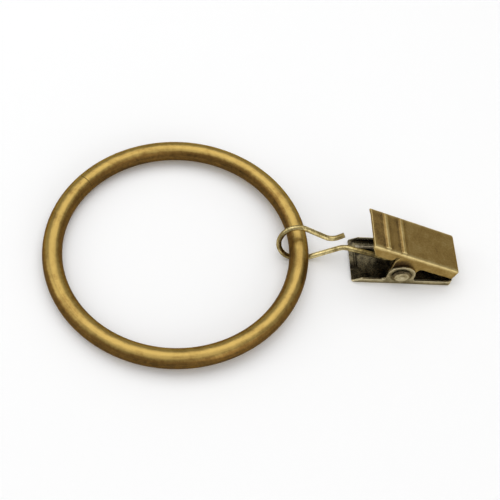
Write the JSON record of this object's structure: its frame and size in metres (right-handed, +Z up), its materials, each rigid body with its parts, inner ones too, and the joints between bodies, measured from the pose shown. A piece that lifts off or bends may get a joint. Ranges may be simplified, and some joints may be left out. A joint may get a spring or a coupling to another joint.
{
  "type": "curtain ring with clip",
  "caption": "Round metal curtain ring with a bent wire hook that carries a sprung sheet-metal clip for gripping the top of a curtain.",
  "frame": {"origin": "on the table that the part lies on, under the centre of the ring's hole", "axes": "+X runs from the ring's centre to the clip, +Y runs along the clip's pivot pin, +Z points up from the table, along the axis of the ring's hole to within 1.5 degrees"},
  "size_m": [0.0939, 0.0596, 0.0145],
  "materials": {
    "ring_brass": "antique brass, satin, browned along its sides",
    "hook_brass": "antique brass, satin, browned in its bends",
    "lower_jaw_patina": "blackened antique brass with its rims rubbed bright",
    "upper_jaw_brass": "mottled brown antique brass with its edges and ribs rubbed bright",
    "rivet_brass": "pale rubbed rivet head in a dark ring",
    "spring_wire": "dark spring wire"
  },
  "bodies": {
    "ring": {"ring": "ring_brass"},
    "hook": {"hook": "hook_brass"},
    "clip": {"lower_jaw": "lower_jaw_patina", "pivot_pin": "rivet_brass", "torsion_spring": "spring_wire"},
    "upper_jaw": {"upper_jaw": "upper_jaw_brass"}
  },
  "joints": [
    {"name": "hook_swing", "type": "hinge", "parent": "ring", "child": "hook", "pos_m": [0.02759, 0, 0.00365], "axis": [0, -1, 0], "continuous": true},
    {"name": "clip_swing", "type": "hinge", "parent": "hook", "child": "clip", "pos_m": [0.05079, 0, 0.0039], "axis": [0, -1, 0], "range_deg": [-14, 11]},
    {"name": "jaw_open", "type": "hinge", "parent": "clip", "child": "upper_jaw", "pos_m": [0.05079, 0, 0.0039], "axis": [0, -1, 0], "range_deg": [0, 24], "stiffness_Nm_per_rad": 0.06, "springref_deg": -28.65, "deforming": ["torsion_spring"]}
  ]
}
